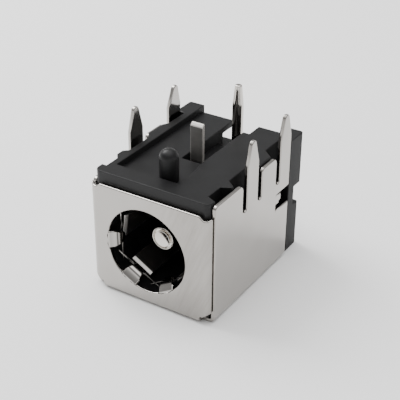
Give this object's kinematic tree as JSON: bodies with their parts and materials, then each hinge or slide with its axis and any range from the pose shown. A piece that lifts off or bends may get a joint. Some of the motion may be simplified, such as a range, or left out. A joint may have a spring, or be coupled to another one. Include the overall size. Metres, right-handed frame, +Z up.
{
  "type": "dc power jack",
  "caption": "Shielded board-mount DC power jack: a plastic housing in a folded metal shell with solder legs, a centre pin and a sleeve contact in a round socket.",
  "frame": {"origin": "on the resting face of the shield's base, under the middle of the jack", "axes": "+X across the jack, to the right seen from the plug side; +Y the way the plug goes in, from the mating face towards the rear; +Z up to the circuit board side, where the solder legs point"},
  "size_m": [0.0096, 0.0126, 0.0117],
  "materials": {
    "shield_metal": "nickel plated sheet steel",
    "housing_plastic": "moulded black thermoplastic",
    "pin_metal": "nickel plated brass",
    "contact_metal": "nickel plated copper alloy strip"
  },
  "bodies": {
    "root": {"shield": "shield_metal", "housing": "housing_plastic", "centre_pin": "pin_metal", "sleeve_contact": "contact_metal"}
  },
  "joints": []
}
